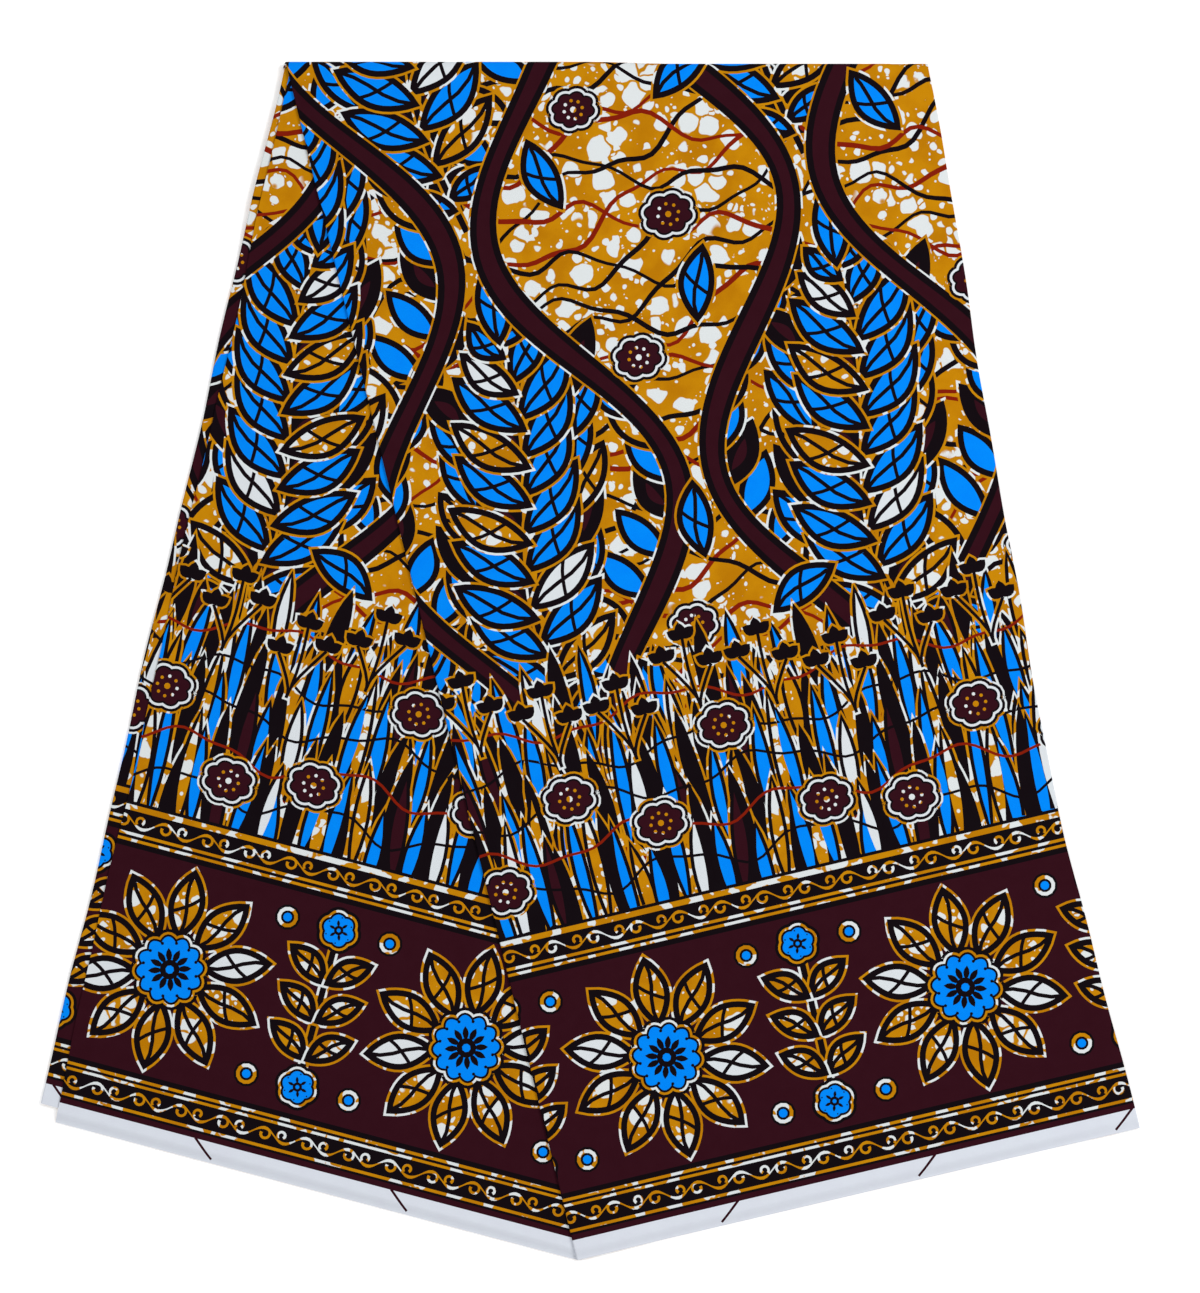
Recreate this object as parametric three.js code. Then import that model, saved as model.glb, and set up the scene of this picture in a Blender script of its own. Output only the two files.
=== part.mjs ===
// Six yards of wax print cotton, folded in a yard-wide stack of six layers and drawn into one fan
// pleat, so that it lies flat as a tapering panel with a V-shaped hem. The top of the stack is
// turned under. Four pieces, one for each stretch that shows and one for what is hidden:
//   front_right_panel  lies on top, and returns on itself at the pleat and at the right-hand fold
//   front_left_panel   comes out from under the pleat and ends in the cloth's cut end
//   second_layer       the next layer down, folded at the left, where it reaches a little further
//   hidden_layers      layers three to six and the turned-under flap, as one solid with ribbed edges
// Millimetres, +Z up. The plan is drawn from the apex of the hem's V at the edge of the print:
// x to the right, y towards the top fold. Heights are above the surface that the cloth lies on.
import * as THREE from "three";

// ---- driving sizes ---------------------------------------------------------------------------
const cloth = {
  wall: 1.0, // wall of one layer
  gap: 0.3, // between one layer and the next
  foldGap: 0.5, // inside the pleat's hairpin
  selvedge: 17, // unprinted strip along the hem
};
const leftHem = { length: 437.5, rise: 14.8 }; // apex to the left corner, degrees up to the left
const rightHem = { length: 469.7, rise: 13.2 }; // apex to the right corner, degrees up to the right
const pleat = {
  lean: 13.66, // degrees that the pleat's edge leans to the left
  tuck: 4, // how far the left panel and the return run past the apex under the right panel
  rest: 8, // the right panel stays lifted as far as this, right of the apex
  runOut: 70, // and comes down to its own layer over this width
};
const leftEdge = { lean: 12.75 }; // degrees, from the left corner up to the right
const secondEdge = { lean: 13.18, x: -435.2, y: 117.4 }; // the second layer's fold at the left
const rightEdge = { lean: 9.6, topX: 286.1, flare: 25, flareFrom: 520 };
const topFold = {
  y: 959.3, // outermost line of the fold
  turn: 160, // degrees that the front layer runs round it
};
const flap = { length: 164, rise: 3.6, ease: 60 }; // the turned-under end lifts what lies on it
const hemDrop = { height: 3.6, width: 10, cornerHeight: 2.4, cornerFrom: 380, cornerWidth: 60 };
const inset = { secondHem: 12, hiddenHem: 14.5, hiddenLeft: 3.2, hiddenRight: 2.6 };
const hidden = { height: 2.4, beads: 4, bead: 0.45, nose: 1.2 };
const returnLength = 6; // of the right-hand fold, at the second layer's level

// Soft swells where the stack doesn't lie quite flat: a row for each, with its middle, the way it
// runs (degrees from x), how far it spreads along and across, and its height.
const swells = [
  { x: -250, y: 300, run: 76, along: 190, across: 60, height: 0.9 },
  { x: -60, y: 520, run: 100, along: 170, across: 70, height: 0.7 },
  { x: 150, y: 330, run: 118, along: 200, across: 65, height: 0.9 },
  { x: 290, y: 430, run: 104, along: 180, across: 55, height: 0.7 },
  { x: 60, y: 760, run: 12, along: 160, across: 60, height: 0.6 },
  { x: 120, y: 110, run: 20, along: 120, across: 55, height: 0.6 },
];

// Long straight edges wander a little: a row for each wave, as size, length and start.
const wander = [
  { size: 0.9, length: 310, start: 20 },
  { size: 0.5, length: 130, start: 75 },
];

// ---- plan and heights ------------------------------------------------------------------------
const radians = (degrees) => (degrees * Math.PI) / 180;
const slope = (degrees) => Math.tan(radians(degrees));
const mix = (a, b, t) => a + (b - a) * t;
const smooth = (t) => {
  const s = Math.min(1, Math.max(0, t));
  return s * s * (3 - 2 * s);
};

const pitch = cloth.wall + cloth.gap; // from one layer to the next
const secondTop = hidden.height + pitch;
const frontTop = secondTop + pitch;
const hairpin = cloth.wall + cloth.foldGap / 2; // outer radius of the pleat's fold
const lift = cloth.gap + 2 * hairpin; // of the right panel where it lies on the pleat
const sideFold = cloth.wall + cloth.gap / 2; // outer radius of the right-hand fold
const rollAxisY = topFold.y - (frontTop + flap.rise + lift) / 2;

const waver = (y) =>
  wander.reduce((sum, w) => sum + w.size * Math.sin(((y - w.start) / w.length) * 2 * Math.PI), 0);

// Distance up from the outer hem, a V with its apex at x = 0.
const hemSlope = (x) => (x < 0 ? -slope(leftHem.rise) : slope(rightHem.rise));
const hemY = (x, up = 0) =>
  x * hemSlope(x) + (up - cloth.selvedge) * Math.hypot(1, hemSlope(x));
const hemDistance = (x, y) => (y - x * hemSlope(x)) / Math.hypot(1, hemSlope(x)) + cloth.selvedge;

const leftCorner = {
  x: -leftHem.length * Math.cos(radians(leftHem.rise)),
  y: leftHem.length * Math.sin(radians(leftHem.rise)),
};
const edgeX = {
  left: (y) => leftCorner.x + (y - leftCorner.y) * slope(leftEdge.lean) + waver(y),
  second: (y) => secondEdge.x + (y - secondEdge.y) * slope(secondEdge.lean) + waver(y + 90),
  pleat: (y) => -(y + cloth.selvedge) * slope(pleat.lean),
  right: (y) =>
    rightEdge.topX +
    (topFold.y - y) * slope(rightEdge.lean) +
    rightEdge.flare * Math.max(0, (rightEdge.flareFrom - y) / (rightEdge.flareFrom - 107)) ** 2 -
    waver(y + 40),
};

function swell(x, y) {
  return swells.reduce((sum, s) => {
    const c = Math.cos(radians(s.run));
    const n = Math.sin(radians(s.run));
    const u = ((x - s.x) * c + (y - s.y) * n) / s.along;
    const v = ((y - s.y) * c - (x - s.x) * n) / s.across;
    return sum + s.height * Math.exp(-(u * u + v * v));
  }, 0);
}
const ground = (x, y) =>
  swell(x, y) + flap.rise * smooth((y - (rollAxisY - flap.length)) / flap.ease);

// What the front layer loses near the hem, where the layers under it have ended.
function drop(x, y) {
  const corner = smooth((x - hemDrop.cornerFrom) / hemDrop.cornerWidth);
  const height = mix(hemDrop.height, hemDrop.cornerHeight, corner);
  return height * (1 - smooth(hemDistance(x, y) / hemDrop.width));
}
const pleatLift = (x) => lift * (1 - smooth((x - pleat.rest) / pleat.runOut));

// ---- meshes ----------------------------------------------------------------------------------
class Faces {
  positions = [];
  point(p) {
    this.positions.push(p.x, p.y, p.z);
  }
  quad(a, b, c, d) {
    [a, b, c, a, c, d].forEach((p) => this.point(p));
  }
  grid(rows) {
    for (let r = 0; r + 1 < rows.length; r++)
      for (let c = 0; c + 1 < rows[r].length; c++)
        this.quad(rows[r][c], rows[r][c + 1], rows[r + 1][c + 1], rows[r + 1][c]);
  }
  geometry() {
    const geometry = new THREE.BufferGeometry();
    geometry.setAttribute("position", new THREE.Float32BufferAttribute(this.positions, 3));
    geometry.computeVertexNormals();
    return geometry;
  }
}

// The border of a grid of rows, once round, in the order that its faces run.
function border(rows) {
  const last = rows.length - 1;
  const end = rows[0].length - 1;
  return [
    ...rows[0].slice(0, end),
    ...rows.slice(0, last).map((row) => row[end]),
    ...rows[last].slice(1).reverse(),
    ...rows.slice(1).reverse().map((row) => row[0]),
  ];
}
const flipped = (rows) => rows.map((row) => [...row].reverse());

// A closed wall between an outer grid and the inner grid behind it.
function wallGeometry(outer, inner) {
  const faces = new Faces();
  faces.grid(outer);
  faces.grid(flipped(inner));
  const rim = border(outer);
  const back = border(inner);
  rim.forEach((a, i) => {
    const next = (i + 1) % rim.length;
    faces.quad(rim[next], a, back[i], back[next]);
  });
  return faces.geometry();
}

// ---- rows ------------------------------------------------------------------------------------
const steps = (from, to, count) =>
  Array.from({ length: count + 1 }, (_, i) => mix(from, to, i / count));
const reach = rollAxisY + cloth.selvedge; // apex to the top fold's axis
const flapStart = reach - flap.length;
const stations = [
  0,
  ...steps(0.3 * hemDrop.width, 1.2 * hemDrop.width, 3),
  ...steps(40, flapStart - 20, 14),
  ...steps(flapStart - 5, flapStart + flap.ease + 10, 7),
  ...steps(flapStart + flap.ease + 50, reach, 2),
].map((distance) => distance / reach);

// The line across the stack at a station, from one edge's x(y) to another's.
function row(t, up, leftX, rightX) {
  const end = (xOf, guess) => {
    let x = guess;
    for (let i = 0; i < 6; i++) x = xOf(mix(hemY(x, up), rollAxisY, t));
    return new THREE.Vector2(x, mix(hemY(x, up), rollAxisY, t));
  };
  return { left: end(leftX, -200), right: end(rightX, 200) };
}

// ---- front right panel -----------------------------------------------------------------------
// One section across the panel, along its print side: the return under the pleat, the hairpin, the
// face, the right-hand fold and its own return. Each point has its place across, its height and the
// direction that its print side faces, as an angle in the section.
function frontRightSection(line) {
  const width = line.left.distanceTo(line.right);
  const along = (line.right.x - line.left.x) / width;
  const acrossAt = (x) => (x - line.left.x) / along;
  const returnHeight = frontTop + cloth.gap;
  const tuck = acrossAt(pleat.tuck);
  const section = [];
  const add = (across, height, facing, lifted = false) =>
    section.push({ across, height, facing, lifted });
  for (const across of steps(tuck, hairpin, 4)) add(across, returnHeight, -90);
  for (const turn of steps(0, 180, 5).slice(1, -1))
    add(
      hairpin - hairpin * Math.sin(radians(turn)),
      returnHeight + hairpin * (1 - Math.cos(radians(turn))),
      -90 - turn,
    );
  const foot = acrossAt(pleat.rest);
  const landed = acrossAt(pleat.rest + pleat.runOut);
  const face = [
    ...steps(hairpin, foot, 6),
    ...steps(foot, landed, 5).slice(1),
    ...steps(landed, width - sideFold, 7).slice(1),
  ];
  for (const across of face) add(across, frontTop, 90, true);
  for (const turn of steps(0, 180, 5).slice(1, -1))
    add(
      width - sideFold + sideFold * Math.sin(radians(turn)),
      frontTop - sideFold * (1 - Math.cos(radians(turn))),
      90 - turn,
    );
  for (const across of steps(width - sideFold, width - returnLength, 1))
    add(across, frontTop - 2 * sideFold, -90);
  return section;
}

// Round the top fold a point keeps its distance from the fold's axis, which runs halfway up the
// stack.
function rolled(x, y, height, turn) {
  if (!turn) return new THREE.Vector3(x, y, height);
  const axis = (frontTop + ground(x, rollAxisY) + pleatLift(x)) / 2;
  const radius = height - axis;
  return new THREE.Vector3(
    x,
    rollAxisY + radius * Math.sin(radians(turn)),
    axis + radius * Math.cos(radians(turn)),
  );
}

function frontRightPanel() {
  const outer = [];
  const inner = [];
  const addRow = (t, turn) => {
    const line = row(t, 0, edgeX.pleat, edgeX.right);
    const direction = line.right.clone().sub(line.left).normalize();
    const place = (across, height, plan) => {
      const at = line.left.clone().addScaledVector(direction, across);
      const rise = ground(plan.x, plan.y) - drop(plan.x, plan.y);
      return rolled(at.x, at.y, height + rise, turn);
    };
    const section = frontRightSection(line).map((point) => {
      const plan = line.left.clone().addScaledVector(direction, point.across);
      const height = point.height + (point.lifted ? pleatLift(plan.x) : 0);
      const facing = radians(point.facing);
      return {
        outer: place(point.across, height, plan),
        inner: place(
          point.across - cloth.wall * Math.cos(facing),
          height - cloth.wall * Math.sin(facing),
          plan,
        ),
      };
    });
    outer.push(section.map((point) => point.outer));
    inner.push(section.map((point) => point.inner));
  };
  stations.forEach((t) => addRow(t, 0));
  steps(0, topFold.turn, 6).slice(1).forEach((turn) => addRow(1, turn));
  return wallGeometry(outer, inner);
}

// ---- front left panel ------------------------------------------------------------------------
function frontLeftPanel() {
  const outer = [];
  const inner = [];
  for (const t of stations) {
    const line = row(t, 0, edgeX.left, () => pleat.tuck);
    const points = steps(0, 1, 12).map((f) => {
      const x = mix(line.left.x, line.right.x, f);
      const y = mix(line.left.y, line.right.y, f);
      return new THREE.Vector3(x, y, frontTop + ground(x, y) - drop(x, y));
    });
    outer.push(points);
    inner.push(points.map((p) => p.clone().setZ(p.z - cloth.wall)));
  }
  return wallGeometry(outer, inner);
}

// ---- second layer ----------------------------------------------------------------------------
// It is bent at the apex as the hem is, rounds over at its left-hand fold and stops short of the
// right panel's return.
function bentRow(t, up, leftX, rightX, leftCount, rightCount) {
  const left = row(t, up, leftX, () => 0);
  const right = row(t, up, () => 0, rightX);
  return [
    ...steps(0, 1, leftCount).map((f) => left.left.clone().lerp(left.right, f)),
    ...steps(0, 1, rightCount).slice(1).map((f) => right.left.clone().lerp(right.right, f)),
  ];
}

function secondLayer() {
  const rightX = (y) => edgeX.right(y) - returnLength - 2 * cloth.gap;
  const outer = [];
  const inner = [];
  for (const t of stations.filter((t) => t === 0 || t > 0.02)) {
    const plan = bentRow(t, inset.secondHem, edgeX.second, rightX, 10, 12);
    const foldPoint = plan[0];
    const rise = ground(foldPoint.x, foldPoint.y);
    const fold = steps(180, 0, 5).slice(0, -1).map((turn) => ({
      across: hairpin * (1 - Math.sin(radians(turn))),
      height: secondTop - hairpin * (1 - Math.cos(radians(turn))),
      facing: radians(90 + turn),
    }));
    const at = (across, height) =>
      new THREE.Vector3(foldPoint.x + across, foldPoint.y, height + rise);
    plan[0] = foldPoint.clone().setX(foldPoint.x + hairpin);
    const face = plan.map((p) => new THREE.Vector3(p.x, p.y, secondTop + ground(p.x, p.y)));
    outer.push([...fold.map((p) => at(p.across, p.height)), ...face]);
    inner.push([
      ...fold.map((p) =>
        at(
          p.across - cloth.wall * Math.cos(p.facing),
          p.height - cloth.wall * Math.sin(p.facing),
        ),
      ),
      ...face.map((p) => p.clone().setZ(p.z - cloth.wall)),
    ]);
  }
  return wallGeometry(outer, inner);
}

// ---- hidden layers ---------------------------------------------------------------------------
// The top and the flat underside share one border, and the ribs of the layers run round between
// them. Along the top fold the solid has a rounded nose.
function hiddenLayers() {
  const leftX = (y) => edgeX.second(y) + inset.hiddenLeft;
  const rightX = (y) => edgeX.right(y) - inset.hiddenRight;
  const plan = stations
    .filter((t) => t === 0 || t > 0.02)
    .map((t) => bentRow(t, inset.hiddenHem, leftX, rightX, 9, 9));
  plan.forEach((points) => points.forEach((p) => p.setY(p.y - cloth.gap)));
  const nose = new Set(plan[plan.length - 1]);
  const edge = border(plan);
  const outward = edge.map((p, i) => {
    const before = edge[(i + edge.length - 1) % edge.length];
    const after = edge[(i + 1) % edge.length];
    return new THREE.Vector2(after.y - before.y, before.x - after.x).normalize();
  });
  const bandCount = 2 * hidden.beads;
  const rings = steps(0, 1, bandCount).map((f, k) =>
    edge.map((p, i) => {
      const rib = k % 2 ? 0 : -hidden.bead;
      const round = nose.has(p) ? hidden.nose * Math.sin(Math.PI * f) : 0;
      const at = p.clone().addScaledVector(outward[i], rib + round);
      const height = f * (hidden.height + ground(p.x, p.y));
      return new THREE.Vector3(at.x, at.y, height);
    }),
  );
  const level = (ring, heightOf) => {
    const onEdge = new Map(edge.map((p, i) => [p, ring[i]]));
    return plan.map((points) =>
      points.map((p) => onEdge.get(p) ?? new THREE.Vector3(p.x, p.y, heightOf(p))),
    );
  };
  const faces = new Faces();
  faces.grid(level(rings[bandCount], (p) => hidden.height + ground(p.x, p.y)));
  faces.grid(flipped(level(rings[0], () => 0)));
  for (let k = 0; k < bandCount; k++)
    edge.forEach((_, i) => {
      const next = (i + 1) % edge.length;
      faces.quad(rings[k][i], rings[k][next], rings[k + 1][next], rings[k + 1][i]);
    });
  return faces.geometry();
}

// ---- the part --------------------------------------------------------------------------------
const pieces = [
  { name: "front_right_panel", geometry: frontRightPanel(), color: 0xbb7c09 },
  { name: "front_left_panel", geometry: frontLeftPanel(), color: 0x0288f3 },
  { name: "second_layer", geometry: secondLayer(), color: 0x3c141e },
  { name: "hidden_layers", geometry: hiddenLayers(), color: 0xd3d9dc },
];

const part = new THREE.Group();
for (const { name, geometry, color } of pieces) {
  const material = new THREE.MeshStandardMaterial({ color, roughness: 0.82, metalness: 0 });
  const mesh = new THREE.Mesh(geometry, material);
  mesh.name = name;
  part.add(mesh);
}
// The origin is under the middle of the whole.
const box = new THREE.Box3().setFromObject(part);
const middle = box.getCenter(new THREE.Vector3());
part.position.set(-middle.x, -middle.y, 0);

export default part;
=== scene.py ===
"""Six yards of wax print cotton, folded flat with one fan pleat, built round its CAD frame.

The print is drawn as outlines on the flat cloth. Each stretch of cloth that shows is then a thin
closed shell, cut into triangles along those outlines and laid in the folds of the CAD model, so
that the print runs round every fold as it does on the real cloth. Lengths are millimetres until
a mesh is made. Two flat systems are used:
    cloth  u along the hem, v up from the edge of the print, both from the apex of the hem's V
    plan   x to the right and y towards the top fold, seen from above, from the same apex
"""

from math import ceil, cos, floor, pi, radians, sin, tan, tau

import bpy
import numpy as np
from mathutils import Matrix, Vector
from mathutils.geometry import delaunay_2d_cdt


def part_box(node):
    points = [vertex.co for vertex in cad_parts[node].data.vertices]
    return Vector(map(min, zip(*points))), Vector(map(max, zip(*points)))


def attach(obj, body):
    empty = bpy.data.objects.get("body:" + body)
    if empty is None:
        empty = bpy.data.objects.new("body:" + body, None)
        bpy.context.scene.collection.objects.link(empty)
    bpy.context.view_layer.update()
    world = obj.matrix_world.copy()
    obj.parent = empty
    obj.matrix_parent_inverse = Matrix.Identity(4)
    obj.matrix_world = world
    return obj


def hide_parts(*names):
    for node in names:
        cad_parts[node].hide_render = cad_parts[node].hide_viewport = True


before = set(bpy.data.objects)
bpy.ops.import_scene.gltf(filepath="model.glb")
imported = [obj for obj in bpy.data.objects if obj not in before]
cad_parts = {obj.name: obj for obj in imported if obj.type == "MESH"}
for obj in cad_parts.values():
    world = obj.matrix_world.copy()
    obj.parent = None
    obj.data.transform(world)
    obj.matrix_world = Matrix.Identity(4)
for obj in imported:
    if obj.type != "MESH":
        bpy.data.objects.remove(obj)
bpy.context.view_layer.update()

MM = 0.001
SEED = 11

# ---- sizes, as in the part's source ----
WALL, GAP, FOLD_GAP = 1.0, 0.3, 0.5
SELVEDGE = 17.0
LEFT_RISE, RIGHT_RISE = radians(14.8), radians(13.2)
LEFT_HEM = 437.5
PLEAT_LEAN = radians(13.66)
PLEAT_TUCK, PLEAT_REST, PLEAT_RUN_OUT = 4.0, 8.0, 70.0
LEFT_EDGE_LEAN = radians(12.75)
SECOND_EDGE = {"lean": radians(13.18), "x": -435.2, "y": 117.4}
RIGHT_EDGE = {"lean": radians(9.6), "top_x": 286.1}
RIGHT_FLARE = {"width": 25.0, "from": 520.0, "to": 107.0}
RIGHT_TILT = cos(radians(12))  # the edge leans 9.6 to 16 degrees, and this serves for all of it
TOP_Y = 959.3
FLAP = {"length": 164.0, "rise": 3.6, "ease": 60.0}
HEM_DROP = {"height": 3.6, "width": 10.0, "corner": 2.4, "corner_from": 380.0, "corner_width": 60.0}
INSET = {"second_hem": 12.0, "hidden_hem": 14.5, "hidden_left": 3.2, "hidden_right": 2.6}
HIDDEN_TOP = 2.4
SECOND_TOP = HIDDEN_TOP + GAP + WALL
FRONT_TOP = SECOND_TOP + GAP + WALL
PLEAT_RADIUS = WALL + FOLD_GAP / 2
SIDE_RADIUS = WALL + GAP / 2
LIFT = GAP + 2 * PLEAT_RADIUS
ROLL_Y = TOP_Y - (FRONT_TOP + FLAP["rise"] + LIFT) / 2
ROLL_TURN = radians(170)

# Swells of the stack: middle x, y, direction in degrees, spread along and across, height.
SWELLS = (
    (-250, 300, 76, 190, 60, 0.9),
    (-60, 520, 100, 170, 70, 0.7),
    (150, 330, 118, 200, 65, 0.9),
    (290, 430, 104, 180, 55, 0.7),
    (60, 760, 12, 160, 60, 0.6),
    (120, 110, 20, 120, 55, 0.6),
)
# Waves of the long edges: size, length, start.
WANDER = ((0.9, 310, 20), (0.5, 130, 75))

# Creases: start x, y, end x, y, height (a trough is below 0), half width.
CREASES = (
    (-360, 552, -122, 489, 0.55, 5.0),
    (-108, 441, 160, 495, 0.35, 6.5),
    (150, 492, 372, 545, 0.60, 4.5),
    (-40, 880, 210, 905, -0.35, 12.0),
    (245, 640, 268, 900, 0.40, 12.0),
    (60, 640, 30, 930, -0.35, 16.0),
    (-205, 905, -60, 700, 0.40, 14.0),
    (-300, 200, -190, 640, -0.45, 15.0),
    (-385, 170, -330, 330, 0.40, 12.0),
    (210, 120, 330, 420, -0.45, 16.0),
    (330, 140, 395, 300, 0.40, 12.0),
    (40, 30, 200, 210, 0.35, 15.0),
    (-150, 70, -60, 260, 0.35, 13.0),
    (-40, 560, 80, 640, -0.30, 12.0),
)

# Thickness of a sheet that shows, and spacing of the meshes' inner points.
SHEET = 0.7
FRONT_GRID, SECOND_GRID, BACK_GRID, HIDDEN_GRID = 11.0, 20.0, 16.0, 24.0

# ---- inks ----
INK_COUNT = 8
GROUND, BLUE, MAROON, BLACK, LINE, RED, WHITE, BARE = range(INK_COUNT)
INK_COLOURS = {  # sRGB, 0 to 255
    BLUE: (4, 134, 242),
    MAROON: (50, 17, 26),
    BLACK: (20, 14, 18),
    RED: (128, 30, 12),
    WHITE: (214, 220, 224),
    BARE: (214, 219, 228),
}
OCHRE = (193, 130, 10)
OCHRE_DEEP = (180, 116, 8)
PALE = (216, 221, 222)


# ---- flat geometry ----
def placed(name, data):
    """A new object in the scene."""
    made = bpy.data.objects.new(name, data)
    bpy.context.scene.collection.objects.link(made)
    return made


def unit(vectors):
    return vectors / np.maximum(np.linalg.norm(vectors, axis=-1, keepdims=True), 1e-9)


def smooth(t):
    t = np.clip(t, 0, 1)
    return t * t * (3 - 2 * t)


def turned(points, angle, at=(0, 0)):
    c, s = cos(angle), sin(angle)
    return np.asarray(points, float) @ np.array([[c, s], [-s, c]]) + np.asarray(at, float)


def inside(outline, points):
    """Which points lie inside an outline, by how often it winds round them."""
    if len(points) > 5000:
        parts = np.array_split(points, len(points) // 5000 + 1)
        return np.concatenate([inside(outline, part) for part in parts])
    a, b = outline, np.roll(outline, -1, 0)
    px, py = points[:, :1], points[:, 1:]
    side = (b[:, 0] - a[:, 0]) * (py - a[:, 1]) - (px - a[:, 0]) * (b[:, 1] - a[:, 1])
    up = (a[:, 1] <= py) & (b[:, 1] > py) & (side > 0)
    down = (a[:, 1] > py) & (b[:, 1] <= py) & (side < 0)
    return up.sum(1) != down.sum(1)


def area_of(outline):
    x, y = outline.T
    return (x * np.roll(y, -1) - y * np.roll(x, -1)).sum() / 2


def grown(outline, by):
    """The outline moved out by a distance, with short corners."""
    outline = np.asarray(outline, float)
    if area_of(outline) < 0:
        outline = outline[::-1]
    before = unit(outline - np.roll(outline, 1, 0))
    after = unit(np.roll(outline, -1, 0) - outline)
    out_before = np.stack([before[:, 1], -before[:, 0]], 1)
    out_after = np.stack([after[:, 1], -after[:, 0]], 1)
    middle = unit(out_before + out_after)
    return outline + middle * (by / np.maximum((middle * out_after).sum(1), 0.45))[:, None]


def stroke(path, width):
    """A band along a path. The width is one number, or one for each point."""
    path = np.asarray(path, float)
    along = unit(np.gradient(path, axis=0))
    across = np.stack([-along[:, 1], along[:, 0]], 1) * (np.asarray(width) / 2).reshape(-1, 1)
    return np.concatenate([path + across, (path - across)[::-1]])


def leaf(length, width, bend=0.0, count=12):
    """A pointed oval from the origin along x, bent to one side."""
    t = np.linspace(0, 1, count + 1)
    half = width / 2 * np.sin(pi * t) ** 0.85
    spine = bend * np.sin(pi * t)
    upper = np.stack([t * length, spine + half], 1)
    lower = np.stack([t * length, spine - half], 1)
    return np.concatenate([lower, upper[-2:0:-1]])


def disc(radius, count, lobes=0, depth=0.0):
    """A disc of a number of points, scalloped with a number of lobes when asked."""
    angle = np.linspace(0, tau, count, endpoint=False)
    away = radius * (1 - depth * (1 - np.abs(np.sin(angle * lobes / 2))))
    return np.stack([away * np.cos(angle), away * np.sin(angle)], 1)


# ---- the print ----
class Print:
    """Outlines of ink on the flat cloth, in the order in which they are laid down."""

    LONGEST_EDGE = 11.0

    def __init__(self):
        self.shapes = []

    def add(self, ink, outline):
        self.shapes.append((ink, np.asarray(outline, float)))

    def draw(self, ink, path, width):
        """A band of ink along a path, added in short lengths."""
        outline, count = stroke(path, width), len(path)
        for first in range(0, count - 1, 8):
            last = min(first + 8, count - 1)
            back = outline[2 * count - 1 - last : 2 * count - first]
            self.add(ink, np.concatenate([outline[first : last + 1], back]))

    def with_edges(self, keep):
        """The same ink with only some of its edges."""
        part = Print()
        part.shapes = self.shapes
        part.starts, part.ends = self.starts[keep], self.ends[keep]
        return part

    def rings(self, outline, *rings):
        """The outline grown by a distance, once for each ink."""
        for ink, by in rings:
            self.add(ink, grown(outline, by))

    def ink_at(self, points):
        """The ink that lies uppermost at each point."""
        order = np.argsort(points[:, 0])
        ranked = points[order]
        inks = np.full(len(points), GROUND)
        for ink, outline in self.shapes:
            low, high = outline.min(0), outline.max(0)
            first, last = np.searchsorted(ranked[:, 0], (low[0], high[0]))
            y = ranked[first:last, 1]
            near = first + np.flatnonzero((y > low[1]) & (y < high[1]))
            if len(near):
                inks[near[inside(outline, ranked[near])]] = ink
        found = np.empty_like(inks)
        found[order] = inks
        return found

    def find_edges(self):
        """Keeps the lengths of outline that part two inks, as starts and ends."""
        starts = np.concatenate([outline for _, outline in self.shapes])
        ends = np.concatenate([np.roll(outline, -1, 0) for _, outline in self.shapes])
        reach = ends - starts
        parts = np.ceil(np.linalg.norm(reach, axis=1) / self.LONGEST_EDGE).astype(int).clip(1)
        which = np.repeat(np.arange(len(starts)), parts)
        step = np.arange(len(which)) - np.repeat(np.cumsum(parts) - parts, parts)
        reach = reach[which] / parts[which][:, None]
        starts = starts[which] + reach * step[:, None]
        across = unit(np.stack([-reach[:, 1], reach[:, 0]], 1)) * 0.12
        seen = np.zeros(len(starts), bool)
        for share in (0.12, 0.5, 0.88):
            at = starts + reach * share
            seen |= self.ink_at(at + across) != self.ink_at(at - across)
        self.starts, self.ends = starts[seen], (starts + reach)[seen]


U_LOW, U_HIGH = -40.0, 580.0  # reach of the print that any stretch in sight shows
V_TOP = 1010.0

# Heights of the border's parts above the edge of the print.
HEM_LINE = (6.6, 9.0)
LOWER_SCROLL = 18.3
LOWER_LINES = ((27.8, 30.0), (32.2, 34.6))
MAIN_BAND = (37.5, 217.5)
UPPER_LINES = ((220.6, 222.9), (225.4, 227.8))
UPPER_SCROLL = 236.3
FIELD_LINE = (245.2, 249.8)
BORDER_TOP = 252.5


def band(design, ink, low, high):
    design.add(ink, [(U_LOW, low), (U_HIGH, low), (U_HIGH, high), (U_LOW, high)])


def running_scroll(design, middle):
    """A wave with a volute curled in under each crest and over each trough."""
    length, reach, line = 35.3, 4.5, 1.8
    u = np.arange(U_LOW, U_HIGH, length / 14)
    swell = 1 + 0.45 * np.cos(4 * pi * u / length)
    design.draw(LINE, np.stack([u, middle + reach * np.cos(tau * u / length)], 1), line * swell)
    turn = np.linspace(0, 1, 13)
    for k in range(ceil(U_LOW / length * 2), floor(U_HIGH / length * 2)):
        if k % 2 == 0:
            centre, radius, first, sweep = (-0.9, 0.0), 4.4, 86, 290
        else:
            centre, radius, first, sweep = (2.6, 1.4), 3.5, -48, 275
        angle = np.radians(first + sweep * turn)
        away = radius * (1 - 0.36 * turn**2)
        path = np.stack([away * np.cos(angle), away * np.sin(angle)], 1)
        place = (k * length / 2 + centre[0], middle + centre[1])
        design.draw(LINE, path + place, line * (1.1 + 0.3 * turn**3))


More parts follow.
